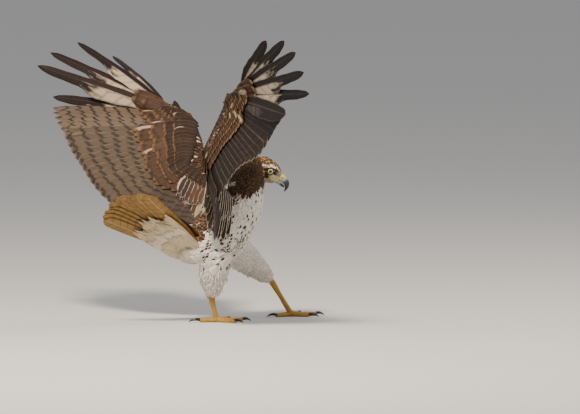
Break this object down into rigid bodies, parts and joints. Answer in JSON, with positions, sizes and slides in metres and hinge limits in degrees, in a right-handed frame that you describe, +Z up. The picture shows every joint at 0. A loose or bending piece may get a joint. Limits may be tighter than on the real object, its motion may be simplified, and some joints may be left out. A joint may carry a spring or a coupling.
{
  "type": "red-tailed hawk",
  "caption": "Life-size still model of a young red-tailed hawk, striding on the floor with raised wings and a cocked, fanned tail.",
  "frame": {"origin": "middle of the whole box, on the floor that the feet stand on", "axes": "+X is where the body faces, +Y is the bird's left and the longest extent, +Z is up"},
  "size_m": [0.5346, 0.9624, 0.6031],
  "materials": {
    "plumage_body": "soft white body feathers with dark brown spots",
    "plumage_head": "short streaked brown feathers",
    "plumage_wing": "barred dark brown flight feathers",
    "plumage_tail": "ochre tail feathers with fine bars",
    "bill_horn": "blue-grey to black horn",
    "claw_horn": "black horn",
    "eye": "wet, pale yellow iris with a black pupil",
    "leg_scales": "yellow scaled skin"
  },
  "bodies": {
    "root": {"torso": "plumage_body", "neck": "plumage_body", "head": "plumage_head", "bill_upper": "bill_horn", "bill_lower": "bill_horn", "eye_left": "eye", "eye_right": "eye", "wing_left": "plumage_wing", "wing_right": "plumage_wing", "tail": "plumage_tail", "thigh_left": "plumage_body", "thigh_right": "plumage_body", "shank_left": "leg_scales", "shank_right": "leg_scales", "foot_left": "leg_scales", "foot_right": "leg_scales", "claw_left_1": "claw_horn", "claw_left_2": "claw_horn", "claw_left_3": "claw_horn", "claw_left_4": "claw_horn", "claw_right_1": "claw_horn", "claw_right_2": "claw_horn", "claw_right_3": "claw_horn", "claw_right_4": "claw_horn"}
  },
  "joints": []
}
